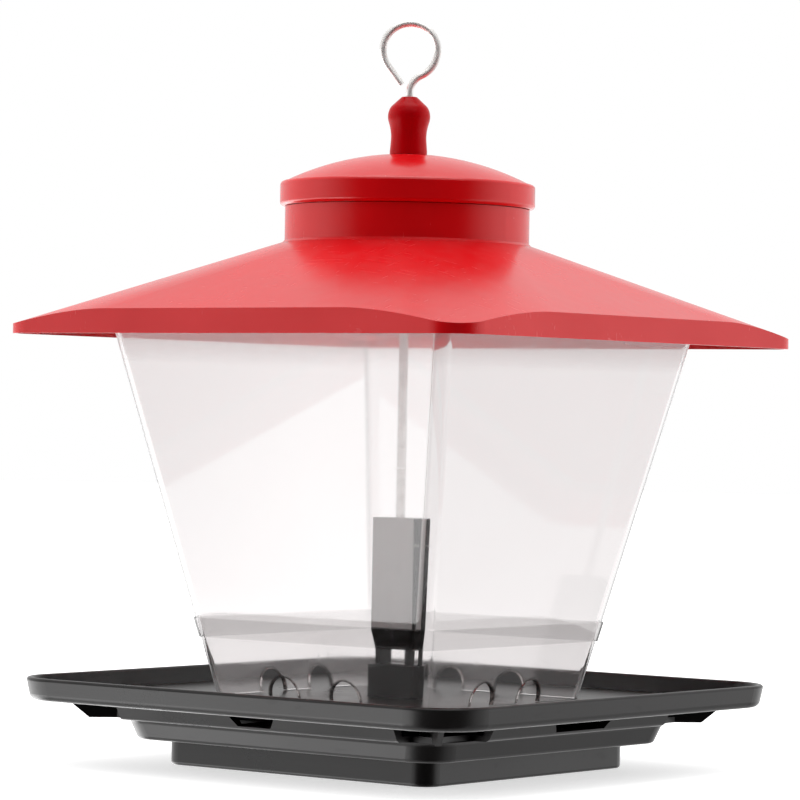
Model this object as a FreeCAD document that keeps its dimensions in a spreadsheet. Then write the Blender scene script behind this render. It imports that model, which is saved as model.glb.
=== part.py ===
import FreeCAD, Part
import math
import os
import Sketcher

# Hanging gravity bird feeder: a square seed tray on a stepped base, a clear
# tapered hopper, a square roof with a round filler cap, and a centre rod that
# a screwed finial with a wire eye clamps everything to. Origin: centre of the
# underside. +Z is up; the sides of the square lie along X and Y. Millimetres.

doc = FreeCAD.newDocument("bird_feeder")
sheet = doc.addObject("Spreadsheet::Sheet", "dims")

DIMENSIONS = [
    # base foot: a shallow square cup with a flange that closes the tray's body
    ("foot_half", 73.25), ("foot_corner", 8.5), ("foot_height", 11.5),
    ("foot_wall", 2.2), ("foot_edge_round", 1.5),
    ("flange_plate", 4.0), ("flange_gap", 0.3), ("head_recess", 2.1),
    ("head_gap", 0.3),
    # seed tray: rim, drain skirt below it, and the stepped body
    ("rim_half", 123.5), ("rim_corner", 25.0), ("rim_draft", 1.5),
    ("rim_wall", 3.0), ("rim_under_round", 3.5), ("rim_lip_round", 1.2),
    ("rim_bottom", 28.0), ("rim_height", 10.0), ("tray_floor", 2.5),
    ("tray_wall", 2.5),
    ("skirt_half", 102.0), ("skirt_corner", 14.0), ("skirt_taper", 4.0),
    ("skirt_bottom", 20.4), ("skirt_round", 3.0),
    ("body_half", 88.5), ("body_corner", 15.0), ("body_taper", 3.0),
    ("body_bottom", 11.3), ("body_round", 2.2),
    # drain slots in the skirt's sides, and drain holes in the floor above
    ("slot_low", 22.0), ("slot_high", 27.4), ("slot_wide_x", 27.0),
    ("slot_wide_y", 44.0), ("slot_taper", 4.5),
    ("drain_bore", 2.0), ("drain_reach", 93.0), ("drain_aside", 74.0),
    # notches through the skirt's corners, each with a gusset across it
    ("notch_x", 28.0), ("notch_y", 40.0), ("notch_gap", 0.3),
    ("gusset_in", 114.0), ("gusset_low", 136.5), ("gusset_high", 146.0),
    ("gusset_thick", 2.4),
    # screws that hold the foot and the post
    ("foot_screw_reach", 75.3), ("boss_radius", 4.0),
    ("screw_shank", 1.5), ("screw_head", 2.8), ("screw_head_high", 1.9),
    ("screw_hole_gap", 0.2), ("foot_screw_long", 12.0),
    ("post_screw_reach", 8.0), ("post_screw_long", 12.0),
    ("screw_point", 1.8), ("screw_face", 1.96), ("screw_dome", 0.855),
    ("cross_arm", 1.736), ("cross_slot", 0.336), ("cross_deep", 1.14),
    ("pilot_clear", 0.5),
    # centre post: plinth, two legs with a window between, taper, column
    ("post_wide", 24.0), ("post_deep", 10.0), ("post_round", 1.0),
    ("plinth_high", 14.5), ("plinth_extra", 0.8),
    ("leg_wide", 20.0), ("leg_deep", 8.5), ("leg_high", 8.0),
    ("window_wide", 14.0), ("window_high", 6.5), ("window_up", 0.5),
    ("window_round", 1.0), ("taper_high", 8.0), ("post_high", 79.5),
    # centre rod and its captive nut
    ("rod_radius", 2.0), ("rod_end", 61.0), ("rod_above_cap", 13.5),
    ("rod_chamfer", 0.5), ("nut_flats", 7.0), ("nut_high", 3.2),
    ("nut_above_end", 1.5), ("nut_gap", 0.2), ("thread_gap", 0.05),
    ("trap_round", 0.3), ("trap_past", 1.0),
    # hopper: clear square funnel with a moulded band and feed ports
    ("hopper_gap", 0.3), ("hopper_foot_half", 58.6), ("hopper_slope", 0.2134),
    ("hopper_high", 167.5), ("hopper_wall", 2.0), ("hopper_corner", 6.0),
    ("band_low", 25.5), ("band_high", 8.5), ("band_proud", 0.9),
    ("port_wide", 16.0), ("port_high", 10.0), ("port_reach", 17.0),
    # roof: straight fascia under a surface that runs from square to round
    ("roof_half", 127.0), ("roof_corner", 16.0), ("roof_below", 10.3),
    ("roof_wall", 2.0), ("crown_radius", 55.0), ("crown_above", 32.5),
    ("eave_half", 157.4), ("eave_corner", 65.7), ("eave_below", 13.3),
    ("side_angle", 3.0), ("roof_drop", 2.3),
    ("neck_radius", 54.2), ("neck_high", 15.9), ("neck_wall", 2.3),
    ("bore_under", 9.2), ("bore_over", 1.0),
    ("cove_high", 1.5), ("cove_wide", 1.5), ("cove_sunk", 0.5),
    ("seat_wall", 2.6), ("seat_gap", 0.3), ("skirt_wall", 2.0),
    ("seat_skirt_below", 5.3),
    # filler cap
    ("cap_gap", 0.3), ("cap_bead", 56.5), ("cap_bead_high", 11.0),
    ("cap_dome_radius", 54.3), ("cap_above_neck", 23.8), ("cap_wall", 2.2),
    ("cap_spigot_deep", 7.0), ("cap_spigot_wall", 1.8), ("cap_seat", 10.0),
    ("cap_bead_round", 1.8), ("cap_rod_gap", 0.5),
    # finial knob with its brass insert and rubber seal
    ("knob_gap", 0.3), ("knob_foot", 8.3), ("knob_waist", 7.6),
    ("knob_bulge", 9.85), ("knob_shoulder", 8.3), ("knob_tip", 3.4),
    ("knob_foot_high", 1.3), ("knob_waist_up", 9.6),
    ("knob_bulge_up", 17.2), ("knob_shoulder_up", 21.0),
    ("knob_high", 25.5), ("knob_waist_round", 20.0),
    ("knob_bulge_round", 8.0), ("knob_shoulder_round", 5.0),
    ("seal_radius", 7.2), ("seal_high", 1.2), ("seal_gap", 0.3),
    ("insert_radius", 4.4), ("insert_low", 1.9), ("insert_high", 12.0),
    ("press_gap", 0.02), ("chamber_high", 5.2),
    # hanger eye and the collar that keeps it in the knob
    ("wire_radius", 1.65), ("eye_radius", 12.1), ("eye_above_cap", 46.5),
    ("eye_bend", 8.75), ("eye_end_below", 15.3), ("eye_end_aside", 3.6),
    ("eye_turned", 38.0), ("wire_gap", 0.08),
    ("collar_radius", 3.9), ("collar_high", 3.0), ("collar_gap", 0.4),
]


class Size:
    """A length that carries its spreadsheet formula and its present value."""

    def __init__(self, formula, value):
        self.formula = formula
        self.value = value

    def join(self, other, sign, value):
        return Size(f"({self.formula} {sign} {as_size(other).formula})", value)

    def __add__(self, other):
        return self.join(other, "+", self.value + as_size(other).value)

    def __sub__(self, other):
        return self.join(other, "-", self.value - as_size(other).value)

    def __mul__(self, other):
        return self.join(other, "*", self.value * as_size(other).value)

    def __truediv__(self, other):
        return self.join(other, "/", self.value / as_size(other).value)

    def __neg__(self):
        return self * -1


def as_size(number):
    if isinstance(number, Size):
        return number
    return Size(repr(float(number)), float(number))


class Dimensions:
    """Every driving dimension, as a Size that reads its spreadsheet cell."""


d = Dimensions()
for row, (alias, number) in enumerate(DIMENSIONS, start=1):
    sheet.set(f"A{row}", alias)
    sheet.set(f"B{row}", str(number))
    sheet.setAlias(f"B{row}", alias)
    setattr(d, alias, Size(f"dims.{alias}", float(number)))
doc.recompute()

ORIGIN = -1
VERTICAL = -2
SIDES = (270, 0, 90, 180)
CORNERS = ((1, 1), (-1, 1), (-1, -1), (1, -1))


def bind(obj, name, size):
    """Tie one property of an object to a formula of the sheet."""
    obj.setExpression(name, as_size(size).formula)


def new_body(name):
    body = doc.addObject("PartDesign::Body", name)
    body.Label = name
    return body


def new_sketch(body, name, plane, height=0):
    """Empty sketch on one of the body's own planes, moved along its normal."""
    sketch = body.newObject("Sketcher::SketchObject", name)
    for feature in body.Origin.OriginFeatures:
        if feature.Role == plane:
            sketch.AttachmentSupport = (feature, [""])
    sketch.MapMode = "FlatFace"
    bind(sketch, "AttachmentOffset.Base.z", height)
    return sketch


def place_point(sketch, line, point, x, y, label):
    """Fix a point of a sketch by its named distances; None leaves one free."""
    for axis, size, kind in (("across", x, "DistanceX"), ("up", y, "DistanceY")):
        if size is None:
            continue
        size = as_size(size)
        if size.formula == "0.0":
            target = VERTICAL if kind == "DistanceX" else ORIGIN
            sketch.addConstraint(
                Sketcher.Constraint("PointOnObject", line, point, target))
            continue
        index = sketch.addConstraint(
            Sketcher.Constraint(kind, ORIGIN, 1, line, point, size.value))
        sketch.renameConstraint(index, f"{label}_{axis}")
        sketch.setExpression(f"Constraints.{label}_{axis}", size.formula)


def draw_outline(sketch, points, domes=()):
    """Closed outline through the points; a dome is an arc about the axis."""
    base = sketch.GeometryCount
    count = len(points)
    corners = [FreeCAD.Vector(as_size(x).value, as_size(y).value, 0)
               for x, y in points]
    for index in range(count):
        start = corners[index]
        end = corners[(index + 1) % count]
        if index in domes:
            # centre on the axis, at the same distance from both ends
            rise = (start.x ** 2 - end.x ** 2) / (2 * (end.y - start.y))
            middle = (start.y + end.y) / 2 - rise
            centre = FreeCAD.Vector(0, middle, 0)
            low, high = sorted((start, end), key=lambda corner: math.atan2(
                corner.y - middle, corner.x))
            circle = Part.Circle(centre, FreeCAD.Vector(0, 0, 1),
                                 (start - centre).Length)
            sketch.addGeometry(Part.ArcOfCircle(
                circle, math.atan2(low.y - middle, low.x),
                math.atan2(high.y - middle, high.x)))
        else:
            sketch.addGeometry(Part.LineSegment(start, end))
    first_points = []
    for index in range(count):
        start = corners[index]
        begins = sketch.getPoint(base + index, 1)
        first_points.append(1 if (begins - start).Length < 1e-6 else 2)
    for index in range(count):
        after = (index + 1) % count
        sketch.addConstraint(Sketcher.Constraint(
            "Coincident", base + index, 3 - first_points[index],
            base + after, first_points[after]))
        if index in domes:
            sketch.addConstraint(
                Sketcher.Constraint("PointOnObject", base + index, 3, VERTICAL))
    for index, (x, y) in enumerate(points):
        place_point(sketch, base + index, first_points[index], x, y,
                    f"corner{base + index}")
    return sketch


def draw_square(sketch, half, corner, centre=(0, 0), half_y=None):
    """Rectangle with rounded corners about a centre; half_y if not square."""
    half, corner = as_size(half), as_size(corner)
    half_y = as_size(half if half_y is None else half_y)
    x, y = as_size(centre[0]), as_size(centre[1])
    reach_x, reach_y, bend = half.value, half_y.value, corner.value
    base = sketch.GeometryCount
    ends = [((-1, -1), (1, -1)), ((1, -1), (1, 1)), ((1, 1), (-1, 1)), ((-1, 1), (-1, -1))]
    for (start_x, start_y), (end_x, end_y) in ends:
        along_x = (end_x - start_x) / 2 * bend
        along_y = (end_y - start_y) / 2 * bend
        start = FreeCAD.Vector(x.value + start_x * reach_x + along_x,
                               y.value + start_y * reach_y + along_y, 0)
        end = FreeCAD.Vector(x.value + end_x * reach_x - along_x,
                             y.value + end_y * reach_y - along_y, 0)
        sketch.addGeometry(Part.LineSegment(start, end))
    for quarter, (turn_x, turn_y) in enumerate(((1, -1), (1, 1), (-1, 1), (-1, -1))):
        middle = FreeCAD.Vector(x.value + turn_x * (reach_x - bend),
                                y.value + turn_y * (reach_y - bend), 0)
        circle = Part.Circle(middle, FreeCAD.Vector(0, 0, 1), bend)
        angle = math.radians(90 * quarter - 90)
        sketch.addGeometry(Part.ArcOfCircle(circle, angle, angle + math.pi / 2))
    for side in range(4):
        arc = base + 4 + side
        after = base + (side + 1) % 4
        sketch.addConstraint(
            Sketcher.Constraint("Tangent", base + side, 2, arc, 1))
        sketch.addConstraint(Sketcher.Constraint("Tangent", arc, 2, after, 1))
        level = "Horizontal" if side % 2 == 0 else "Vertical"
        sketch.addConstraint(Sketcher.Constraint(level, base + side))
        if side:
            sketch.addConstraint(Sketcher.Constraint("Equal", base + 4, arc))
    limits = (("DistanceX", 1, x + half, "right"), ("DistanceX", 3, x - half, "left"),
              ("DistanceY", 0, y - half_y, "front"), ("DistanceY", 2, y + half_y, "back"))
    for kind, side, size, label in limits:
        index = sketch.addConstraint(Sketcher.Constraint(
            kind, ORIGIN, 1, base + side, 1, size.value))
        name = f"{label}{base}"
        sketch.renameConstraint(index, name)
        sketch.setExpression(f"Constraints.{name}", size.formula)
    index = sketch.addConstraint(
        Sketcher.Constraint("Radius", base + 4, corner.value))
    sketch.renameConstraint(index, f"bend{base}")
    sketch.setExpression(f"Constraints.bend{base}", corner.formula)
    return sketch


def draw_circle(sketch, radius, x=0, y=0):
    radius = as_size(radius)
    index = sketch.GeometryCount
    centre = FreeCAD.Vector(as_size(x).value, as_size(y).value, 0)
    sketch.addGeometry(
        Part.Circle(centre, FreeCAD.Vector(0, 0, 1), radius.value))
    size = sketch.addConstraint(
        Sketcher.Constraint("Radius", index, radius.value))
    sketch.renameConstraint(size, f"radius{index}")
    sketch.setExpression(f"Constraints.radius{index}", radius.formula)
    place_point(sketch, index, 3, x, y, f"centre{index}")
    return sketch


def tapered_block(body, name, low, high, low_half, high_half, corner, kind="Additive"):
    """Straight-sided block with rounded corners between two heights."""
    foot = new_sketch(body, f"{name}_foot", "XY_Plane", low)
    draw_square(foot, low_half, corner)
    head = new_sketch(body, f"{name}_head", "XY_Plane", high)
    draw_square(head, high_half, corner)
    block = body.newObject(f"PartDesign::{kind}Loft", name)
    block.Profile = foot
    block.Sections = [head]
    block.Ruled = True
    return block


def pad(body, name, sketch, length):
    feature = body.newObject("PartDesign::Pad", name)
    feature.Profile = sketch
    bind(feature, "Length", length)
    return feature


def pocket(body, name, sketch, length, upward=True):
    """Cut a sketch's shape out, upward or downward from its plane."""
    feature = body.newObject("PartDesign::Pocket", name)
    feature.Profile = sketch
    feature.Reversed = upward
    bind(feature, "Length", length)
    return feature


def pocket_across(body, name, sketch, length):
    """Cut a sketch's shape out on both sides of its plane."""
    feature = pocket(body, name, sketch, length)
    feature.Midplane = True
    return feature


def revolve(body, name, sketch, cut=False):
    kind = "Groove" if cut else "Revolution"
    feature = body.newObject(f"PartDesign::{kind}", name)
    feature.Profile = sketch
    feature.ReferenceAxis = (sketch, ["V_Axis"])
    feature.Angle = 360
    return feature


def round_edges(body, name, radius, wanted):
    """Fillet every edge of the body's last feature that passes the test."""
    doc.recompute()
    last = body.Tip
    names = [f"Edge{index}" for index, edge in enumerate(last.Shape.Edges, start=1)
             if wanted(edge.BoundBox)]
    feature = body.newObject("PartDesign::Fillet", name)
    feature.Base = (last, names)
    bind(feature, "Radius", radius)
    return feature


def level_edge(box, height, reach=0):
    """True for a level edge at this height, outside a square of this reach."""
    flat = abs(box.ZMin - height.value) < 0.01 and abs(box.ZMax - height.value) < 0.01
    outside = max(abs(box.XMin), abs(box.XMax), abs(box.YMin), abs(box.YMax))
    return flat and outside > as_size(reach).value - 0.01


floor_top = d.rim_bottom + d.tray_floor
rim_top = d.rim_bottom + d.rim_height
skirt_foot = d.skirt_half - d.skirt_taper
body_foot = d.body_half - d.body_taper


def seed_tray():
    """Black moulded tray: rim, notched skirt, stepped body, hollow below."""
    body = new_body("seed_tray")
    tapered_block(body, "rim_block", d.rim_bottom, rim_top,
                  d.rim_half - d.rim_draft, d.rim_half, d.rim_corner)
    tapered_block(body, "skirt_block", d.skirt_bottom, d.rim_bottom,
                  skirt_foot, d.skirt_half, d.skirt_corner)
    tapered_block(body, "body_block", d.body_bottom, d.skirt_bottom,
                  body_foot, d.body_half, d.body_corner)
    round_edges(body, "rim_under_edge", d.rim_under_round,
                lambda box: level_edge(box, d.rim_bottom, d.rim_half - d.rim_corner - d.rim_draft))
    round_edges(body, "skirt_edge", d.skirt_round,
                lambda box: level_edge(box, d.skirt_bottom, skirt_foot - d.skirt_corner))
    round_edges(body, "body_edge", d.body_round,
                lambda box: level_edge(box, d.body_bottom))
    tapered_block(body, "dish", floor_top, rim_top, d.rim_half - d.rim_draft - d.rim_wall,
                  d.rim_half - d.rim_wall, d.rim_corner - d.rim_wall, "Subtractive")
    round_edges(body, "lip_edge", d.rim_lip_round,
                lambda box: level_edge(box, rim_top))
    skirt_hollow = new_sketch(body, "skirt_hollow_outline", "XY_Plane",
                              d.skirt_bottom + d.tray_wall)
    draw_square(skirt_hollow, skirt_foot - d.tray_wall, d.skirt_corner - d.tray_wall)
    pocket(body, "skirt_hollow", skirt_hollow,
           d.rim_bottom - d.skirt_bottom - d.tray_wall)
    body_hollow = new_sketch(body, "body_hollow_outline", "XY_Plane", d.body_bottom)
    draw_square(body_hollow, body_foot - d.tray_wall, d.body_corner - d.tray_wall)
    pocket(body, "body_hollow", body_hollow, d.rim_bottom - d.body_bottom)

    # a slot through each side of the skirt, narrower at its sill
    for plane, wide, label in (("XZ_Plane", d.slot_wide_x, "front"),
                               ("YZ_Plane", d.slot_wide_y, "side")):
        slot = new_sketch(body, f"slot_outline_{label}", plane)
        sill = wide / 2 - d.slot_taper
        draw_outline(slot, [(-sill, d.slot_low), (sill, d.slot_low),
                            (wide / 2, d.slot_high), (-wide / 2, d.slot_high)])
        pocket_across(body, f"slots_{label}", slot, (d.skirt_half + d.tray_wall) * 2)

    # each corner of the skirt is cut away round the body's corner
    notches = new_sketch(body, "notch_outline", "XY_Plane", d.skirt_bottom)
    near = d.body_half + d.notch_gap
    far = d.skirt_half + d.tray_wall
    for sign_x, sign_y in CORNERS:
        draw_outline(notches, [
            (near * sign_x, near * sign_y), (near * sign_x, (far - d.notch_y) * sign_y),
            (far * sign_x, (far - d.notch_y) * sign_y), (far * sign_x, far * sign_y),
            ((far - d.notch_x) * sign_x, far * sign_y),
            ((far - d.notch_x) * sign_x, near * sign_y)])
    pocket(body, "corner_notches", notches, d.rim_bottom - d.skirt_bottom)

    # and a gusset along each diagonal holds the rim up from the body
    inside_floor = d.rim_bottom + d.tray_floor / 2
    for turn in SIDES:
        diagonal = turn + 45
        gusset = new_sketch(body, f"gusset_outline_{diagonal}", "XZ_Plane")
        gusset.AttachmentOffset = FreeCAD.Placement(
            FreeCAD.Vector(), FreeCAD.Rotation(FreeCAD.Vector(0, 1, 0), diagonal))
        draw_outline(gusset, [
            (d.gusset_in, d.skirt_bottom), (d.gusset_low, d.skirt_bottom),
            (d.gusset_high, d.rim_bottom), (d.gusset_high, inside_floor),
            (d.gusset_in, inside_floor)])
        pad(body, f"gusset_{diagonal}", gusset, d.gusset_thick).Midplane = True

    # bosses for the foot's screws, and every hole in the floor
    bosses = new_sketch(body, "boss_outline", "XY_Plane",
                        d.foot_height + d.flange_plate)
    pilots = new_sketch(body, "pilot_outline", "XY_Plane",
                        d.foot_height + d.flange_plate)
    drains = new_sketch(body, "drain_outline", "XY_Plane", d.rim_bottom)
    for sign_x in (-1, 1):
        for sign_y in (-1, 1):
            spot = (d.foot_screw_reach * sign_x, d.foot_screw_reach * sign_y)
            draw_circle(bosses, d.boss_radius, *spot)
            draw_circle(pilots, d.screw_shank + d.thread_gap, *spot)
            draw_circle(drains, d.drain_bore,
                        d.drain_reach * sign_x, d.drain_aside * sign_y)
        draw_circle(drains, d.drain_bore, d.drain_reach * sign_x, 0)
        draw_circle(drains, d.drain_bore, 0, d.drain_reach * sign_x)
        draw_circle(drains, d.screw_shank + d.screw_hole_gap,
                    d.post_screw_reach * sign_x, 0)
    pad(body, "bosses", bosses, d.rim_bottom - d.foot_height - d.flange_plate + d.tray_floor / 2)
    pocket(body, "pilot_holes", pilots,
           d.head_recess + d.foot_screw_long - d.flange_plate + d.pilot_clear)
    pocket(body, "floor_holes", drains, d.tray_floor)
    return body


def base_foot():
    """Square foot with a flange that closes the underside of the tray."""
    body = new_body("base_foot")
    cup = new_sketch(body, "cup_outline", "XY_Plane")
    draw_square(cup, d.foot_half, d.foot_corner)
    pad(body, "cup", cup, d.foot_height + d.flange_plate)
    round_edges(body, "foot_edge", d.foot_edge_round,
                lambda box: level_edge(box, as_size(0)))
    flange = new_sketch(body, "flange_outline", "XY_Plane", d.foot_height)
    draw_square(flange, body_foot - d.tray_wall - d.flange_gap,
                d.body_corner - d.tray_wall - d.flange_gap)
    pad(body, "flange", flange, d.flange_plate)
    hollow = new_sketch(body, "hollow_outline", "XY_Plane", d.foot_wall)
    draw_square(hollow, d.foot_half - d.foot_wall, d.foot_corner - d.foot_wall)
    pocket(body, "hollow", hollow, d.foot_height + d.flange_plate - d.foot_wall)
    holes = new_sketch(body, "hole_outline", "XY_Plane", d.foot_height)
    recesses = new_sketch(body, "recess_outline", "XY_Plane", d.foot_height)
    for sign_x in (-1, 1):
        for sign_y in (-1, 1):
            spot = (d.foot_screw_reach * sign_x, d.foot_screw_reach * sign_y)
            draw_circle(holes, d.screw_shank + d.screw_hole_gap, *spot)
            draw_circle(recesses, d.screw_head + d.head_gap, *spot)
    pocket(body, "screw_holes", holes, d.flange_plate)
    pocket(body, "head_recesses", recesses, d.head_recess)
    return body


def screw(name, long, x, y, head_top):
    """Pan-head self-tapping screw, head down, pointing up, with a cross slot."""
    body = new_body(name)
    outline = new_sketch(body, f"{name}_outline", "XZ_Plane")
    draw_outline(outline, [
        (0, -d.screw_head_high), (d.screw_face, -d.screw_head_high),
        (d.screw_head, -d.screw_dome), (d.screw_head, 0),
        (d.screw_shank, 0), (d.screw_shank, long - d.screw_point), (0, long)])
    revolve(body, f"{name}_turned", outline)
    cross = new_sketch(body, f"{name}_cross", "XY_Plane", -d.screw_head_high)
    arm, half_slot = d.cross_arm, d.cross_slot
    draw_outline(cross, [
        (arm, -half_slot), (arm, half_slot), (half_slot, half_slot),
        (half_slot, arm), (-half_slot, arm), (-half_slot, half_slot),
        (-arm, half_slot), (-arm, -half_slot), (-half_slot, -half_slot),
        (-half_slot, -arm), (half_slot, -arm), (half_slot, -half_slot)])
    pocket(body, f"{name}_recess", cross, d.cross_deep)
    bind(body, "Placement.Base.x", x)
    bind(body, "Placement.Base.y", y)
    bind(body, "Placement.Base.z", head_top)
    return body


def screw_group(name, screws):
    """Identical screws as one named group of separate solids."""
    group = doc.addObject("Part::Compound", name)
    group.Label = name
    group.Links = screws
    return group


def foot_screws():
    screws = []
    for sign_x in (-1, 1):
        for sign_y in (-1, 1):
            screws.append(screw(f"foot_screw{len(screws)}", d.foot_screw_long,
                                d.foot_screw_reach * sign_x,
                                d.foot_screw_reach * sign_y,
                                d.foot_height + d.head_recess))
    return screw_group("foot_screws", screws)


def post_screws():
    screws = [screw(f"post_screw{index}", d.post_screw_long,
                    d.post_screw_reach * sign, as_size(0) * 1, d.rim_bottom)
              for index, sign in enumerate((-1, 1))]
    return screw_group("post_screws", screws)


leg_low = floor_top + d.plinth_high
taper_low = leg_low + d.leg_high
column_low = taper_low + d.taper_high


def centre_post():
    """Black post: plinth, windowed legs, a taper and a column for the rod."""
    body = new_body("centre_post")
    plinth = new_sketch(body, "plinth_outline", "XY_Plane", floor_top)
    draw_square(plinth, d.post_wide / 2 + d.plinth_extra, d.post_round,
                (0, 0), d.post_deep / 2 + d.plinth_extra)
    pad(body, "plinth", plinth, d.plinth_high)
    legs = new_sketch(body, "leg_outline", "XY_Plane", leg_low)
    draw_square(legs, d.leg_wide / 2, d.post_round, (0, 0), d.leg_deep / 2)
    pad(body, "legs", legs, d.leg_high)
    neck = new_sketch(body, "taper_foot", "XY_Plane", taper_low)
    draw_square(neck, d.leg_wide / 2, d.post_round, (0, 0), d.leg_deep / 2)
    shoulder = new_sketch(body, "taper_head", "XY_Plane", column_low)
    draw_square(shoulder, d.post_wide / 2, d.post_round, (0, 0), d.post_deep / 2)
    taper = body.newObject("PartDesign::AdditiveLoft", "taper")
    taper.Profile = neck
    taper.Sections = [shoulder]
    taper.Ruled = True
    column = new_sketch(body, "column_outline", "XY_Plane", column_low)
    draw_square(column, d.post_wide / 2, d.post_round, (0, 0), d.post_deep / 2)
    pad(body, "column", column, floor_top + d.post_high - column_low)
    window = new_sketch(body, "window_outline", "XY_Plane", leg_low + d.window_up)
    draw_square(window, d.window_wide / 2, d.window_round, (0, 0), d.post_deep)
    pocket(body, "window", window, d.window_high)
    bore = new_sketch(body, "bore_outline", "XY_Plane", d.rod_end - d.nut_gap)
    draw_circle(bore, d.rod_radius + d.thread_gap)
    pocket(body, "rod_bore", bore, floor_top + d.post_high - d.rod_end + d.nut_gap)
    trap = new_sketch(body, "trap_outline", "XY_Plane",
                      d.rod_end + d.nut_above_end - d.nut_gap)
    trap_reach = d.nut_flats / 2 + d.nut_gap
    trap_back = d.post_deep / 2 + d.trap_past
    draw_square(trap, d.nut_flats / math.sqrt(3) + d.nut_gap, d.trap_round,
                (0, (trap_back - trap_reach) / 2), (trap_back + trap_reach) / 2)
    pocket(body, "nut_trap", trap, d.nut_high + d.nut_gap * 2)
    pilots = new_sketch(body, "pilot_outline", "XY_Plane", floor_top)
    for sign in (-1, 1):
        draw_circle(pilots, d.screw_shank + d.thread_gap, d.post_screw_reach * sign, 0)
    pocket(body, "pilot_holes", pilots,
           d.post_screw_long - d.tray_floor + d.pilot_clear)
    return body


def centre_rod():
    """Straight steel rod, from the captive nut up into the finial."""
    body = new_body("centre_rod")
    outline = new_sketch(body, "rod_outline", "XZ_Plane")
    inner = d.rod_radius - d.rod_chamfer
    draw_outline(outline, [
        (0, d.rod_end), (inner, d.rod_end),
        (d.rod_radius, d.rod_end + d.rod_chamfer),
        (d.rod_radius, rod_top - d.rod_chamfer),
        (inner, rod_top), (0, rod_top)])
    revolve(body, "rod_turned", outline)
    return body


def rod_nut():
    """Hexagon nut held in the post, screwed on the rod's lower end."""
    body = new_body("rod_nut")
    outline = new_sketch(body, "nut_outline", "XY_Plane", d.rod_end + d.nut_above_end)
    across_corners = d.nut_flats / math.sqrt(3)
    corners = [(across_corners * math.cos(math.radians(60 * turn)),
                across_corners * math.sin(math.radians(60 * turn)))
               for turn in range(6)]
    draw_outline(outline, [(x, y if abs(y.value) > 1e-6 else 0) for x, y in corners])
    pad(body, "nut_block", outline, d.nut_high)
    bore = new_sketch(body, "nut_bore_outline", "XY_Plane", d.rod_end + d.nut_above_end)
    draw_circle(bore, d.rod_radius + d.thread_gap)
    pocket(body, "nut_bore", bore, d.nut_high)
    return body


hopper_low = floor_top + d.hopper_gap
hopper_top = hopper_low + d.hopper_high

# everything above the hopper takes its level from the hopper's top edge
eave_low = hopper_top - d.eave_below
roof_bottom = hopper_top - d.roof_below
seat_skirt_low = hopper_top - d.seat_skirt_below
crown_low = hopper_top + d.crown_above
neck_top = crown_low + d.neck_high
cap_top = neck_top + d.cap_above_neck
rod_top = cap_top + d.rod_above_cap
eye_centre = cap_top + d.eye_above_cap


def hopper_half(above):
    """Outer half side of the hopper at a height above its foot."""
    return d.hopper_foot_half + d.hopper_slope * as_size(above)


def hopper():
    """Clear square funnel with a moulded band and arched feed ports."""
    body = new_body("hopper")
    tapered_block(body, "funnel", hopper_low, hopper_top,
                  hopper_half(0), hopper_half(d.hopper_high), d.hopper_corner)
    tapered_block(body, "band", hopper_low + d.band_low,
                  hopper_low + d.band_low + d.band_high,
                  hopper_half(d.band_low) + d.band_proud,
                  hopper_half(d.band_low + d.band_high) + d.band_proud,
                  d.hopper_corner + d.band_proud)
    tapered_block(body, "inside", hopper_low, hopper_top,
                  hopper_half(0) - d.hopper_wall,
                  hopper_half(d.hopper_high) - d.hopper_wall,
                  d.hopper_corner - d.hopper_wall, "Subtractive")
    for plane, label in (("XZ_Plane", "x"), ("YZ_Plane", "y")):
        ports = new_sketch(body, f"port_outline_{label}", plane)
        radius = d.port_wide / 2
        spring = hopper_low + d.port_high - radius
        for sign in (-1, 1):
            draw_arch(ports, d.port_reach * sign, hopper_low, spring, radius)
        pocket_across(body, f"ports_{label}", ports, hopper_half(d.hopper_high) * 2)
    return body


def draw_arch(sketch, middle, low, spring, radius):
    """Round-topped opening: two legs, a sill and a half-round head."""
    base = sketch.GeometryCount
    left, right = (middle - radius).value, (middle + radius).value
    foot, head = low.value, spring.value
    corners = [FreeCAD.Vector(left, foot, 0), FreeCAD.Vector(right, foot, 0),
               FreeCAD.Vector(right, head, 0), FreeCAD.Vector(left, head, 0)]
    for start, end in ((3, 0), (0, 1), (1, 2)):
        sketch.addGeometry(Part.LineSegment(corners[start], corners[end]))
    circle = Part.Circle(FreeCAD.Vector(middle.value, head, 0),
                         FreeCAD.Vector(0, 0, 1), radius.value)
    sketch.addGeometry(Part.ArcOfCircle(circle, 0, math.pi))
    for first, second in ((base, base + 1), (base + 1, base + 2)):
        sketch.addConstraint(
            Sketcher.Constraint("Coincident", first, 2, second, 1))
    sketch.addConstraint(
        Sketcher.Constraint("Coincident", base + 2, 2, base + 3, 1))
    sketch.addConstraint(Sketcher.Constraint("Coincident", base + 3, 2, base, 1))
    place_point(sketch, base + 3, 3, middle, spring, f"arch{base}")
    place_point(sketch, base + 1, 1, middle - radius, low, f"sill_left{base}")
    place_point(sketch, base + 1, 2, middle + radius, low, f"sill_right{base}")
    place_point(sketch, base, 1, middle - radius, spring, f"spring_left{base}")
    place_point(sketch, base + 2, 2, None, spring, f"spring_right{base}")


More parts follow.
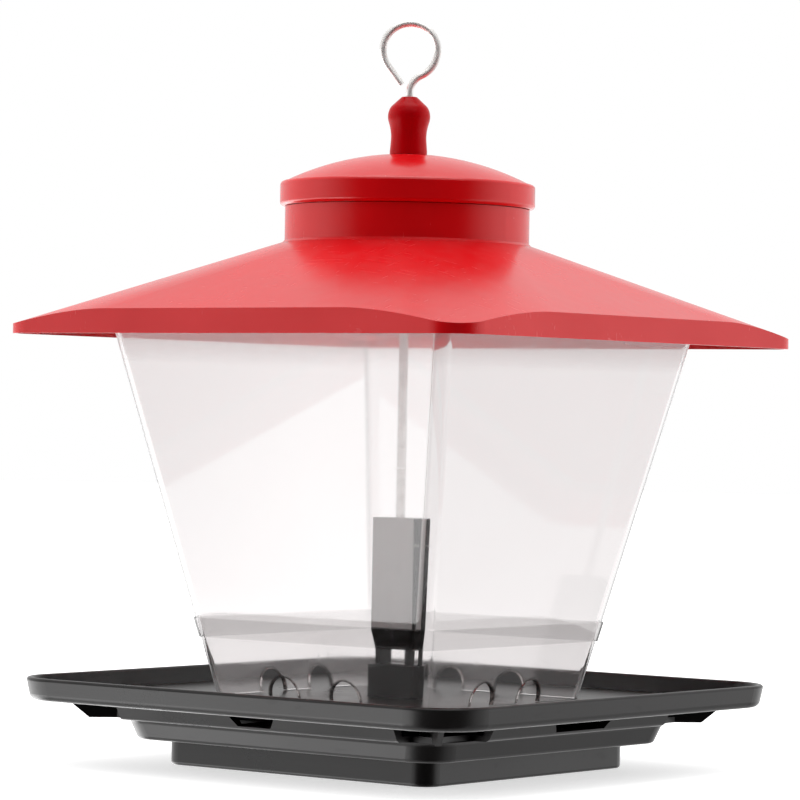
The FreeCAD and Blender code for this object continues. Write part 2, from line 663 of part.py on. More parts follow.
def draw_octo_circle(sketch, radius, side_angle):
    """Circle in eight arcs: a short one at each side, a long one at each corner."""
    circle = Part.Circle(FreeCAD.Vector(), FreeCAD.Vector(0, 0, 1), radius.value)
    half_side = side_angle.value
    starts = []
    for turn in SIDES:
        for start, end in ((turn - half_side, turn + half_side),
                           (turn + half_side, turn + 90 - half_side)):
            starts.append(math.radians(start))
            sketch.addGeometry(Part.ArcOfCircle(
                circle, math.radians(start), math.radians(end)))
    for index in range(8):
        after = (index + 1) % 8
        sketch.addConstraint(
            Sketcher.Constraint("Coincident", index, 2, after, 1))
        if index < 7:
            sketch.addConstraint(
                Sketcher.Constraint("Coincident", index, 3, ORIGIN, 1))
    sketch.addConstraint(Sketcher.Constraint("PointOnObject", 7, 3, VERTICAL))
    size = sketch.addConstraint(Sketcher.Constraint("Radius", 0, radius.value))
    sketch.renameConstraint(size, "crown")
    sketch.setExpression("Constraints.crown", radius.formula)
    for index, angle in enumerate(starts):
        across, up = radius * math.cos(angle), radius * math.sin(angle)
        if abs(across.value) > abs(up.value):
            place_point(sketch, index, 1, None, up, f"start{index}")
        else:
            place_point(sketch, index, 1, across, None, f"start{index}")
    return sketch


def loose_sketch(name, height):
    """Level sketch of the document itself, for the shapes that are combined."""
    sketch = doc.addObject("Sketcher::SketchObject", name)
    bind(sketch, "Placement.Base.z", height)
    return sketch


def extrude(name, sketch, height):
    block = doc.addObject("Part::Extrusion", name)
    block.Base = sketch
    block.DirMode = "Custom"
    block.Dir = FreeCAD.Vector(0, 0, 1)
    block.Solid = True
    bind(block, "LengthFwd", height)
    return block


def combine(kind, name, first, second):
    """Boolean of two objects of the document: Cut, Fuse or Common."""
    result = doc.addObject(f"Part::{kind}", name)
    result.Base = first
    result.Tool = second
    return result


def roof_volume(name, lowered, half, corner):
    """Solid under the roof surface: square eave to round crown, cut square."""
    eave = loose_sketch(f"{name}_eave", eave_low - lowered)
    draw_square(eave, d.eave_half, d.eave_corner)
    crown = loose_sketch(f"{name}_crown", crown_low - lowered)
    draw_octo_circle(crown, d.crown_radius, d.side_angle)
    slopes = doc.addObject("Part::Loft", f"{name}_slopes")
    slopes.Sections = [eave, crown]
    slopes.Solid = True
    slopes.Ruled = True
    outline = loose_sketch(f"{name}_outline", roof_bottom - lowered / 2)
    draw_square(outline, half, corner)
    prism = extrude(f"{name}_prism", outline, crown_low - roof_bottom)
    return combine("Common", f"{name}_volume", slopes, prism)


def disc(name, radius, low, high):
    cylinder = doc.addObject("Part::Cylinder", name)
    bind(cylinder, "Radius", radius)
    bind(cylinder, "Height", high - low)
    bind(cylinder, "Placement.Base.z", low)
    return cylinder


def square_ring(name, low, high, inner, outer, inner_corner, outer_corner):
    outline = loose_sketch(f"{name}_outline", low)
    draw_square(outline, outer, outer_corner)
    draw_square(outline, inner, inner_corner)
    return extrude(name, outline, high - low)


def roof():
    """Red moulded roof shell with a seat for the hopper's rim and a neck."""
    outer = roof_volume("roof_outside", as_size(0), d.roof_half, d.roof_corner)
    inner = roof_volume("roof_inside", d.roof_drop, d.roof_half - d.roof_wall,
                        d.roof_corner - d.roof_wall)
    shell = combine("Cut", "roof_shell", outer, inner)
    rim = hopper_half(d.hopper_high)
    seat = square_ring("seat_ring", hopper_top + d.seat_gap, crown_low,
                       rim - d.seat_wall, rim + d.seat_gap + d.skirt_wall,
                       d.hopper_corner, d.hopper_corner + d.seat_gap + d.skirt_wall)
    skirt = square_ring("seat_skirt", seat_skirt_low, crown_low,
                        rim + d.seat_gap, rim + d.seat_gap + d.skirt_wall,
                        d.hopper_corner + d.seat_gap,
                        d.hopper_corner + d.seat_gap + d.skirt_wall)
    ribs = combine("Common", "seat_ribs", combine("Fuse", "seat_blank", seat, skirt), outer)
    neck = disc("neck_blank", d.neck_radius, crown_low - d.roof_drop, neck_top)
    cove = doc.addObject("Part::Cone", "neck_cove")
    bind(cove, "Radius1", d.neck_radius + d.cove_wide)
    bind(cove, "Radius2", d.neck_radius)
    bind(cove, "Height", d.cove_high)
    bind(cove, "Placement.Base.z", crown_low - d.cove_sunk)
    crown = combine("Fuse", "crown_blank", neck, cove)
    closed = combine("Fuse", "roof_blank", combine("Fuse", "roof_ribbed", shell, ribs), crown)
    bore = disc("neck_bore", d.neck_radius - d.neck_wall,
                crown_low - d.bore_under, neck_top + d.bore_over)
    piece = combine("Cut", "roof", closed, bore)
    piece.Label = "roof"
    return piece


def fill_cap():
    """Domed red cap: a bead over the neck, and a spigot down inside it."""
    body = new_body("fill_cap")
    outline = new_sketch(body, "cap_outline", "XZ_Plane")
    hole = d.rod_radius + d.cap_rod_gap
    bead_low = neck_top + d.cap_gap
    bead_top = bead_low + d.cap_bead_high
    spigot = d.neck_radius - d.neck_wall - d.cap_gap
    spigot_in = spigot - d.cap_spigot_wall
    draw_outline(outline, [
        (hole, cap_top), (d.cap_seat, cap_top),
        (d.cap_dome_radius, bead_top), (d.cap_bead, bead_top),
        (d.cap_bead, bead_low), (spigot, bead_low),
        (spigot, bead_low - d.cap_spigot_deep),
        (spigot_in, bead_low - d.cap_spigot_deep),
        (spigot_in, bead_top - d.cap_wall / 2),
        (d.cap_seat, cap_top - d.cap_wall),
        (hole, cap_top - d.cap_wall)], domes=(1, 8))
    revolve(body, "cap_turned", outline)
    round_edges(body, "bead_edges", d.cap_bead_round, lambda box: (
        level_edge(box, bead_top, d.cap_bead) or level_edge(box, bead_low, d.cap_bead)))
    return body


knob_low = cap_top + d.knob_gap
knob_top = knob_low + d.knob_high
insert_low = knob_low + d.insert_low
chamber_top = insert_low + d.insert_high + d.chamber_high


def knob_seal():
    """Rubber washer in the finial's underside, pressed on the cap."""
    body = new_body("knob_seal")
    outline = new_sketch(body, "seal_outline", "XY_Plane", knob_low)
    draw_circle(outline, d.seal_radius)
    draw_circle(outline, d.rod_radius + d.seal_gap)
    pad(body, "seal", outline, d.seal_high)
    return body


def finial_knob():
    """Red finial: turned shape over a bored core that takes the insert."""
    body = new_body("finial_knob")
    outline = new_sketch(body, "knob_outline", "XZ_Plane")
    waist = knob_low + d.knob_waist_up
    bulge = knob_low + d.knob_bulge_up
    shoulder = knob_low + d.knob_shoulder_up
    draw_outline(outline, [
        (0, knob_low), (d.knob_foot, knob_low),
        (d.knob_foot, knob_low + d.knob_foot_high), (d.knob_waist, waist),
        (d.knob_bulge, bulge), (d.knob_shoulder, shoulder),
        (d.knob_tip, knob_top), (0, knob_top)])
    revolve(body, "knob_turned", outline)
    round_edges(body, "waist_round", d.knob_waist_round,
                lambda box: level_edge(box, waist))
    round_edges(body, "bulge_round", d.knob_bulge_round,
                lambda box: level_edge(box, bulge))
    round_edges(body, "shoulder_round", d.knob_shoulder_round,
                lambda box: level_edge(box, shoulder))
    core = new_sketch(body, "core_outline", "XZ_Plane")
    wire_hole = d.wire_radius + d.wire_gap
    recess_top = knob_low + d.seal_high + d.seal_gap
    draw_outline(core, [
        (0, knob_low), (d.seal_radius + d.seal_gap, knob_low),
        (d.seal_radius + d.seal_gap, recess_top), (d.insert_radius, recess_top),
        (d.insert_radius, chamber_top), (wire_hole, chamber_top),
        (wire_hole, knob_top), (0, knob_top)])
    revolve(body, "core", core, cut=True)
    return body


def knob_insert():
    """Brass threaded insert pressed into the finial."""
    body = new_body("knob_insert")
    outline = new_sketch(body, "insert_outline", "XY_Plane", insert_low)
    draw_circle(outline, d.insert_radius - d.press_gap)
    draw_circle(outline, d.rod_radius + d.thread_gap)
    pad(body, "insert", outline, d.insert_high)
    return body


def eye_collar():
    """Steel collar pressed on the wire, turning in the finial's chamber."""
    body = new_body("eye_collar")
    outline = new_sketch(body, "collar_outline", "XY_Plane",
                         chamber_top - d.collar_gap - d.collar_high)
    draw_circle(outline, d.collar_radius)
    draw_circle(outline, d.wire_radius + d.press_gap)
    pad(body, "collar", outline, d.collar_high)
    return body


def hanger_eye():
    """Wire eye: a stem that bends aside into a ring with a straight tail."""
    body = new_body("hanger_eye")
    stem_low = chamber_top - d.collar_gap - d.collar_high
    path = new_sketch(body, "eye_path", "XZ_Plane")
    # the bend and the ring touch where both face the ring's centre line
    reach = d.eye_bend.value + d.eye_radius.value
    angle = math.acos(d.eye_bend.value / reach)
    bend_start = eye_centre - reach * math.sin(angle)
    # the tail leaves the ring where it points at the free end
    aside, below = d.eye_end_aside.value, d.eye_end_below.value
    tail_angle = (1.5 * math.pi - math.atan2(aside, below)
                  - math.acos(d.eye_radius.value / math.hypot(aside, below)))
    path.addGeometry(Part.LineSegment(
        FreeCAD.Vector(0, stem_low.value, 0), FreeCAD.Vector(0, bend_start.value, 0)))
    path.addGeometry(Part.ArcOfCircle(
        Part.Circle(FreeCAD.Vector(d.eye_bend.value, bend_start.value, 0),
                    FreeCAD.Vector(0, 0, 1), d.eye_bend.value),
        math.pi - angle, math.pi))
    path.addGeometry(Part.ArcOfCircle(
        Part.Circle(FreeCAD.Vector(0, eye_centre.value, 0),
                    FreeCAD.Vector(0, 0, 1), d.eye_radius.value),
        -angle, tail_angle))
    path.addGeometry(Part.LineSegment(
        FreeCAD.Vector(d.eye_radius.value * math.cos(tail_angle),
                       eye_centre.value + d.eye_radius.value * math.sin(tail_angle), 0),
        FreeCAD.Vector(-aside, eye_centre.value - below, 0)))
    path.addConstraint(Sketcher.Constraint("Vertical", 0))
    path.addConstraint(Sketcher.Constraint("Tangent", 0, 2, 1, 2))
    path.addConstraint(Sketcher.Constraint("Tangent", 1, 1, 2, 1))
    path.addConstraint(Sketcher.Constraint("Tangent", 2, 2, 3, 1))
    place_point(path, 0, 1, 0, stem_low, "stem")
    place_point(path, 2, 3, 0, eye_centre, "eye")
    place_point(path, 3, 2, -d.eye_end_aside, eye_centre - d.eye_end_below, "free_end")
    for arc, size, label in ((2, d.eye_radius, "ring"), (1, d.eye_bend, "bend")):
        index = path.addConstraint(Sketcher.Constraint("Radius", arc, size.value))
        path.renameConstraint(index, label)
        path.setExpression(f"Constraints.{label}", size.formula)
    section = new_sketch(body, "wire_section", "XY_Plane", stem_low)
    draw_circle(section, d.wire_radius)
    wire = body.newObject("PartDesign::AdditivePipe", "wire")
    wire.Profile = section
    wire.Spine = (path, [])
    bind(body, "Placement.Rotation.Angle", d.eye_turned)
    return body


PIECES = [seed_tray(), base_foot(), foot_screws(), centre_post(), post_screws(),
          centre_rod(), rod_nut(), hopper(), roof(), fill_cap(), knob_seal(),
          finial_knob(), knob_insert(), hanger_eye(), eye_collar()]

doc.recompute()
for feature in doc.Objects:
    if "Invalid" in feature.State or "Error" in feature.State:
        raise RuntimeError(f"{feature.Name} did not rebuild: {feature.State}")
for piece in PIECES:
    if piece.Shape.isNull() or not piece.Shape.isValid():
        raise RuntimeError(f"{piece.Label} has no valid shape")

os.makedirs("parts", exist_ok=True)
for piece in PIECES:
    piece.Shape.exportStep(f"parts/{piece.Label}.step")
    box = piece.Shape.BoundBox
    print(f"{piece.Label:12} solids {len(piece.Shape.Solids)} "
          f"volume {piece.Shape.Volume:10.0f} "
          f"z {box.ZMin:7.2f} to {box.ZMax:7.2f} half {box.XMax:6.2f}")
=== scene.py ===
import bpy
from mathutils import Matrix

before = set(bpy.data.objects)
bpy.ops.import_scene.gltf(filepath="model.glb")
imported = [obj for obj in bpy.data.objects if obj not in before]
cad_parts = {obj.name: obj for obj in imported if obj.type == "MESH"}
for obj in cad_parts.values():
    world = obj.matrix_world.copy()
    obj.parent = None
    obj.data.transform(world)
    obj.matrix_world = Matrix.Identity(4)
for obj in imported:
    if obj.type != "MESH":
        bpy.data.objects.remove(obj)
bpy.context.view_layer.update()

import math
import bpy
from mathutils import Matrix, Vector

# Base foot
# A shallow square cup moulded in black plastic, with a flange plate that
# closes the tray's body from below. Four screws pull it up into the tray.


def add_node(tree, kind, **values):
    """A shader node of that kind, with its plain settings."""
    node = tree.nodes.new(kind)
    for name, value in values.items():
        setattr(node, name, value)
    return node


def feed(tree, socket, source):
    """Link one socket to another, or set it to a plain value."""
    if isinstance(source, bpy.types.NodeSocket):
        tree.links.new(source, socket)
    else:
        socket.default_value = source


def blend_noise(tree, place, grains, detail=3.0, stretch=None):
    """A noise pattern of so many grains per metre, stretched if asked."""
    if stretch:
        turned = add_node(tree, "ShaderNodeMapping")
        tree.links.new(place, turned.inputs["Vector"])
        turned.inputs["Scale"].default_value = stretch
        place = turned.outputs["Vector"]
    noise = add_node(tree, "ShaderNodeTexNoise")
    tree.links.new(place, noise.inputs["Vector"])
    feed(tree, noise.inputs["Scale"], grains)
    noise.inputs["Detail"].default_value = detail
    return noise.outputs["Fac"]


def spread(tree, value, low, high, to_low, to_high):
    """Carry a value from one range to another, held at both ends."""
    node = add_node(tree, "ShaderNodeMapRange")
    tree.links.new(value, node.inputs["Value"])
    for name, number in (("From Min", low), ("From Max", high),
                         ("To Min", to_low), ("To Max", to_high)):
        feed(tree, node.inputs[name], number)
    return node.outputs["Result"]


def combine(tree, kind, first, second):
    """One value from two, by the kind of sum that is named."""
    node = add_node(tree, "ShaderNodeMath", operation=kind)
    feed(tree, node.inputs[0], first)
    feed(tree, node.inputs[1], second)
    return node.outputs["Value"]


def mix_colours(tree, amount, first, second):
    """Blend from the first colour to the second by an amount."""
    node = add_node(tree, "ShaderNodeMix", data_type="RGBA")
    feed(tree, node.inputs["Factor"], amount)
    feed(tree, node.inputs[6], first)
    feed(tree, node.inputs[7], second)
    return node.outputs[2]


def new_group(name, inputs, outputs):
    """An empty node group with those sockets, and its two end nodes."""
    tree = bpy.data.node_groups.new(name, "ShaderNodeTree")
    for label, kind, value in inputs:
        socket = tree.interface.new_socket(label, in_out="INPUT", socket_type=kind)
        socket.default_value = value
    for label, kind in outputs:
        tree.interface.new_socket(label, in_out="OUTPUT", socket_type=kind)
    return tree, tree.nodes.new("NodeGroupInput"), tree.nodes.new("NodeGroupOutput")


# The skin of a plastic moulding: slow tone from the melt's flow, a fine
# spark-eroded grain, short handling scratches, and dust on what faces up.
moulded_skin, given, made = new_group(
    "moulded skin",
    [("Colour", "NodeSocketColor", (0.5, 0.5, 0.5, 1)),
     ("Deep Colour", "NodeSocketColor", (0.4, 0.4, 0.4, 1)),
     ("Dust Colour", "NodeSocketColor", (0.45, 0.43, 0.4, 1)),
     ("Roughness", "NodeSocketFloat", 0.3),
     ("Grain", "NodeSocketFloat", 1500.0),
     ("Dust", "NodeSocketFloat", 0.1),
     ("Scratches", "NodeSocketFloat", 0.1)],
    [("Colour", "NodeSocketColor"), ("Roughness", "NodeSocketFloat"),
     ("Height", "NodeSocketFloat")])
place = add_node(moulded_skin, "ShaderNodeTexCoord").outputs["Object"]
flow = blend_noise(moulded_skin, place, grains=16.0, detail=4.0)
flow = spread(moulded_skin, flow, 0.35, 0.65, 0.0, 1.0)
grain = blend_noise(moulded_skin, place, given.outputs["Grain"], detail=2.0)
across = blend_noise(moulded_skin, place, grains=60.0, detail=2.0, stretch=(1, 14, 3))
along = blend_noise(moulded_skin, place, grains=70.0, detail=2.0, stretch=(13, 1, 2))
scratch = combine(moulded_skin, "MAXIMUM",
                  spread(moulded_skin, across, 0.66, 0.70, 0.0, 1.0),
                  spread(moulded_skin, along, 0.67, 0.71, 0.0, 1.0))
scratch = combine(moulded_skin, "MULTIPLY", scratch, given.outputs["Scratches"])
facing = add_node(moulded_skin, "ShaderNodeSeparateXYZ")
moulded_skin.links.new(
    add_node(moulded_skin, "ShaderNodeNewGeometry").outputs["Normal"], facing.inputs[0])
upward = spread(moulded_skin, facing.outputs["Z"], 0.3, 0.95, 0.0, 1.0)
dust = blend_noise(moulded_skin, place, grains=130.0, detail=7.0)
dust = spread(moulded_skin, dust, 0.45, 0.75, 0.0, 1.0)
dust = combine(moulded_skin, "MULTIPLY", dust, upward)
dust = combine(moulded_skin, "MULTIPLY", dust, given.outputs["Dust"])
tone = mix_colours(moulded_skin, flow, given.outputs["Deep Colour"],
                   given.outputs["Colour"])
tone = mix_colours(moulded_skin, dust, tone, given.outputs["Dust Colour"])
moulded_skin.links.new(tone, made.inputs["Colour"])
SCRATCH_DULLS = 0.5
DUST_DULLS = 0.6
worn = combine(moulded_skin, "ADD", given.outputs["Roughness"],
               spread(moulded_skin, flow, 0.0, 1.0, -0.03, 0.03))
worn = combine(moulded_skin, "ADD", worn,
               combine(moulded_skin, "MULTIPLY", scratch, SCRATCH_DULLS))
worn = combine(moulded_skin, "ADD", worn,
               combine(moulded_skin, "MULTIPLY", dust, DUST_DULLS))
moulded_skin.links.new(worn, made.inputs["Roughness"])
moulded_skin.links.new(grain, made.inputs["Height"])


def moulded(name, colour, deep, roughness, grain=1500.0, dust=0.1, scratches=0.1,
            relief=0.00002, specular=0.5):
    """A solid-coloured moulded plastic with the moulded skin on it."""
    finish = bpy.data.materials.new(name)
    finish.use_nodes = True
    tree = finish.node_tree
    shader = tree.nodes["Principled BSDF"]
    skin = add_node(tree, "ShaderNodeGroup", node_tree=moulded_skin)
    skin.inputs["Colour"].default_value = (*colour, 1)
    skin.inputs["Deep Colour"].default_value = (*deep, 1)
    skin.inputs["Roughness"].default_value = roughness
    skin.inputs["Grain"].default_value = grain
    skin.inputs["Dust"].default_value = dust
    skin.inputs["Scratches"].default_value = scratches
    bump = add_node(tree, "ShaderNodeBump")
    bump.inputs["Strength"].default_value = 1.0
    bump.inputs["Distance"].default_value = relief
    tree.links.new(skin.outputs["Height"], bump.inputs["Height"])
    tree.links.new(bump.outputs["Normal"], shader.inputs["Normal"])
    tree.links.new(skin.outputs["Colour"], shader.inputs["Base Color"])
    tree.links.new(skin.outputs["Roughness"], shader.inputs["Roughness"])
    shader.inputs["Specular IOR Level"].default_value = specular
    return finish


def coat(node, finish):
    """Give a CAD node its finish in every slot."""
    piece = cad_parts[node]
    for place in piece.material_slots:
        place.material = finish


BLACK = (0.015, 0.013, 0.013)
DEEP_BLACK = (0.010, 0.009, 0.009)
black_plastic = moulded("black plastic", BLACK, DEEP_BLACK, roughness=0.30, grain=1400.0,
                        dust=0.06, scratches=0.12, specular=0.36)
coat("base_foot", black_plastic)

# Seed tray
# One black moulding: a wide rim around a flat floor, a slotted drain skirt
# under it, and a stepped body that the foot closes.
coat("seed_tray", black_plastic)

# Foot screws and post screws
# Zinc-plated self-tapping pan-head screws, driven up from below. Four hold
# the foot to the tray's bosses, and two hold the post on the tray's floor.
plated_skin, given, made = new_group(
    "plated skin",
    [("Colour", "NodeSocketColor", (0.6, 0.6, 0.6, 1)),
     ("Stain", "NodeSocketColor", (0.4, 0.4, 0.38, 1)),
     ("Roughness", "NodeSocketFloat", 0.3),
     ("Along", "NodeSocketFloat", 1.0)],
    [("Colour", "NodeSocketColor"), ("Roughness", "NodeSocketFloat"),
     ("Height", "NodeSocketFloat")])
place = add_node(plated_skin, "ShaderNodeTexCoord").outputs["Object"]
mottle = blend_noise(plated_skin, place, grains=380.0, detail=5.0)
mottle = spread(plated_skin, mottle, 0.4, 0.7, 0.0, 1.0)
drawn = blend_noise(plated_skin, place, grains=420.0, stretch=(6, 6, 0.12))
drawn = combine(plated_skin, "MULTIPLY", drawn, given.outputs["Along"])
STAIN_SHOWS = 0.5
LINES_DULL = 0.12
STAIN_STANDS = 0.3
stain = combine(plated_skin, "MULTIPLY", mottle, STAIN_SHOWS)
tone = mix_colours(plated_skin, stain, given.outputs["Colour"], given.outputs["Stain"])
plated_skin.links.new(tone, made.inputs["Colour"])
worn = combine(plated_skin, "ADD", given.outputs["Roughness"],
               spread(plated_skin, mottle, 0.0, 1.0, -0.04, 0.1))
worn = combine(plated_skin, "ADD", worn,
               combine(plated_skin, "MULTIPLY", drawn, LINES_DULL))
plated_skin.links.new(worn, made.inputs["Roughness"])
height = combine(plated_skin, "ADD", drawn,
                 combine(plated_skin, "MULTIPLY", mottle, STAIN_STANDS))
plated_skin.links.new(height, made.inputs["Height"])


def metal(name, colour, stain, roughness, along=1.0, relief=0.00001):
    """A bare or plated metal with drawn lines and light staining."""
    finish = bpy.data.materials.new(name)
    finish.use_nodes = True
    tree = finish.node_tree
    shader = tree.nodes["Principled BSDF"]
    skin = add_node(tree, "ShaderNodeGroup", node_tree=plated_skin)
    skin.inputs["Colour"].default_value = (*colour, 1)
    skin.inputs["Stain"].default_value = (*stain, 1)
    skin.inputs["Roughness"].default_value = roughness
    skin.inputs["Along"].default_value = along
    bump = add_node(tree, "ShaderNodeBump")
    bump.inputs["Distance"].default_value = relief
    tree.links.new(skin.outputs["Height"], bump.inputs["Height"])
    tree.links.new(bump.outputs["Normal"], shader.inputs["Normal"])
    tree.links.new(skin.outputs["Colour"], shader.inputs["Base Color"])
    tree.links.new(skin.outputs["Roughness"], shader.inputs["Roughness"])
    shader.inputs["Metallic"].default_value = 1.0
    return finish


zinc = metal("zinc plate", (0.62, 0.63, 0.66), (0.42, 0.41, 0.38), roughness=0.28,
             along=0.2)
coat("foot_screws", zinc)
coat("post_screws", zinc)

# Centre post
# A black moulded stanchion, held to the tray's floor by two screws from
# below. It carries the rod's captive nut. Its broad faces above the taper
# are painted a streaked light grey: a painted highlight for the bright light
# they mirror.
TAPER_TOP = 0.0613
TAPER_SOFT = 0.0003
post_plastic = moulded("post plastic", BLACK, DEEP_BLACK, roughness=0.30, dust=0.02,
                       scratches=0.12, specular=0.25)
tree = post_plastic.node_tree
shader = tree.nodes["Principled BSDF"]
place = add_node(tree, "ShaderNodeTexCoord").outputs["Object"]
levels = add_node(tree, "ShaderNodeSeparateXYZ")
tree.links.new(place, levels.inputs[0])
facing = add_node(tree, "ShaderNodeSeparateXYZ")
tree.links.new(
    add_node(tree, "ShaderNodeNewGeometry").outputs["Normal"], facing.inputs[0])
# painted highlight: the faces along Y, above the taper, get a streaked light grey instead
# of the black
highlight_faces = combine(tree, "MULTIPLY", facing.outputs["Y"], facing.outputs["Y"])
highlight_faces = spread(tree, highlight_faces, 0.8, 0.95, 0.0, 1.0)
column = spread(tree, levels.outputs["Z"], TAPER_TOP - TAPER_SOFT,
                TAPER_TOP + TAPER_SOFT, 0.0, 1.0)
streaks = blend_noise(tree, place, grains=260.0, stretch=(1, 1, 0.06))
painted_highlight_grey = mix_colours(tree, streaks, (0.38, 0.38, 0.38, 1), (0.50, 0.495, 0.49, 1))
tone = mix_colours(tree, combine(tree, "MULTIPLY", highlight_faces, column),
                   shader.inputs["Base Color"].links[0].from_socket, painted_highlight_grey)
feed(tree, shader.inputs["Base Color"], tone)
coat("centre_post", post_plastic)

# Centre rod and its nut
# A bright drawn steel rod, screwed into a plated nut that is caught in the
# post. The knob on its top end clamps the whole stack.
coat("centre_rod", metal("drawn steel", (0.62, 0.61, 0.60), (0.52, 0.51, 0.50),
                         roughness=0.34))
coat("rod_nut", zinc)

# Hopper
# A clear square funnel moulded in one piece, with a thicker band near its
# foot, a bloom on its top edge, and two arched feed ports in each side.
BAND_LOW = 0.0563
BAND_HIGH = 0.0648
BAND_SOFT = 0.0003
PORT_REACH = 0.017
PORT_HALF = 0.008
PORT_SPRING = 0.0328
CLEAR = (0.985, 0.965, 0.965, 1)
BAND_PAINTED_SHADE = (0.76, 0.74, 0.74, 1)
PORT_EDGE_SHADE = (0.10, 0.08, 0.075, 1)
clear_plastic = bpy.data.materials.new("clear plastic")
clear_plastic.use_nodes = True
tree = clear_plastic.node_tree
shader = tree.nodes["Principled BSDF"]
shader.inputs["Transmission Weight"].default_value = 1.0
shader.inputs["IOR"].default_value = 1.49
place = add_node(tree, "ShaderNodeTexCoord").outputs["Object"]
level_rub = blend_noise(tree, place, grains=45.0, stretch=(1, 1, 12))
upright_rub = blend_noise(tree, place, grains=38.0, stretch=(9, 9, 1))
rub = combine(tree, "MAXIMUM",
              spread(tree, level_rub, 0.66, 0.72, 0.0, 0.10),
              spread(tree, upright_rub, 0.66, 0.72, 0.0, 0.08))
haze = blend_noise(tree, place, grains=22.0, detail=5.0)
haze = spread(tree, haze, 0.4, 0.7, 0.03, 0.07)
tree.links.new(combine(tree, "ADD", haze, rub), shader.inputs["Roughness"])
levels = add_node(tree, "ShaderNodeSeparateXYZ")
tree.links.new(place, levels.inputs[0])
# a grey tint painted over the thicker band: painted shade for the grey the band's
# refraction gives
band_shade_mask = combine(tree, "MULTIPLY",
               spread(tree, levels.outputs["Z"], BAND_LOW - BAND_SOFT,
                      BAND_LOW + BAND_SOFT, 0.0, 1.0),
               spread(tree, levels.outputs["Z"], BAND_HIGH - BAND_SOFT,
                      BAND_HIGH + BAND_SOFT, 1.0, 0.0))
# bloom: a trace below the band, and a thick one towards the top edge
bloom = combine(tree, "MAXIMUM",
                spread(tree, levels.outputs["Z"], 0.0555, 0.0562, 0.15, 0.0),
                spread(tree, levels.outputs["Z"], 0.176, 0.188, 0.0, 0.9))
clear = mix_colours(tree, band_shade_mask, CLEAR, BAND_PAINTED_SHADE)
# a dark ring painted round the cut edge of each port, sides and a half-round arch: painted
# shade for the dark the open ports show
over = combine(tree, "SUBTRACT", levels.outputs["Z"], PORT_SPRING)
over = combine(tree, "MAXIMUM", over, 0.0)
for axis in "XY":
    aside = combine(tree, "MAXIMUM", levels.outputs[axis],
                    combine(tree, "MULTIPLY", levels.outputs[axis], -1.0))
    aside = combine(tree, "SUBTRACT", aside, PORT_REACH)
    out = combine(tree, "ADD", combine(tree, "MULTIPLY", aside, aside),
                  combine(tree, "MULTIPLY", over, over))
    out = combine(tree, "POWER", out, 0.5)
    port_edge_shade_mask = combine(tree, "MULTIPLY",
                   spread(tree, out, PORT_HALF - 0.0003, PORT_HALF - 0.0001, 0.0, 1.0),
                   spread(tree, out, PORT_HALF + 0.0002, PORT_HALF + 0.0011, 1.0, 0.0))
    clear = mix_colours(tree, port_edge_shade_mask, clear, PORT_EDGE_SHADE)
tree.links.new(clear, shader.inputs["Base Color"])
tree.links.new(bloom, shader.inputs["Sheen Weight"])
shader.inputs["Sheen Roughness"].default_value = 0.7
bump = add_node(tree, "ShaderNodeBump")
bump.inputs["Strength"].default_value = 0.12
bump.inputs["Distance"].default_value = 0.0002
tree.links.new(blend_noise(tree, place, grains=26.0, detail=1.0), bump.inputs["Height"])
tree.links.new(bump.outputs["Normal"], shader.inputs["Normal"])
coat("hopper", clear_plastic)

# Roof
# A red moulding whose skin runs from the square eave to the round neck, over
# a hidden seat that stands on the hopper's top edge.
red_plastic = moulded("red plastic", (0.78, 0.0, 0.004), (0.71, 0.0, 0.003),
                      roughness=0.22, grain=1300.0, dust=0.03)
coat("roof", red_plastic)

# Filler cap
# A red domed lid, moulded in one piece and dropped into the roof's neck on
# a short spigot. The knob holds it down.
coat("fill_cap", red_plastic)

# Knob seal
# A washer cut from soft black rubber, between the cap's flat top and the
# knob. It keeps rain out of the hole for the rod.
coat("knob_seal", moulded("seal rubber", (0.03, 0.03, 0.03), (0.02, 0.02, 0.02),
                          roughness=0.7, grain=3000.0, dust=0.15, scratches=0.0,
                          relief=0.00004))

# Finial knob and its insert
# A red moulding in the shape of a turned finial, on a brass threaded
# insert that screws down the rod.
coat("finial_knob", moulded("knob plastic", (0.52, 0.0, 0.004), (0.45, 0.0, 0.003),
                            roughness=0.26, grain=1700.0, dust=0.03, specular=0.08))
coat("knob_insert", metal("brass", (0.74, 0.52, 0.22), (0.45, 0.30, 0.14),
                          roughness=0.25, along=0.3))

# Hanger eye and its collar
# Bright plated wire bent to an eye. A plated collar pressed on its lower
# end keeps it in the knob, where it swivels.
coat("hanger_eye", metal("bright wire", (0.95, 0.94, 0.92), (0.82, 0.80, 0.78),
                         roughness=0.52, along=0.1))
coat("eye_collar", zinc)

# Floor
# A wide pale sheet under the object. The object's gloss sees it as a lit
# table to the left and right of the viewer, and as a black card in front.
CARD = math.radians(42)
AHEAD = Vector((math.sin(CARD), -math.cos(CARD), 0))
LEFT = Vector((AHEAD.y, -AHEAD.x, 0))
FLOOR_RADIUS = 7.0
FLOOR_DROP = 0.0002
# how steeply a reflected ray meets the table, far out and half way in
SHALLOW, STEEP = 0.1, 0.4
# brightness of the table far out, half way in, and close by
LEFT_TABLE = (1.4, 4.6, 1.0)
RIGHT_TABLE = (1.6, 0.6, 0.65)
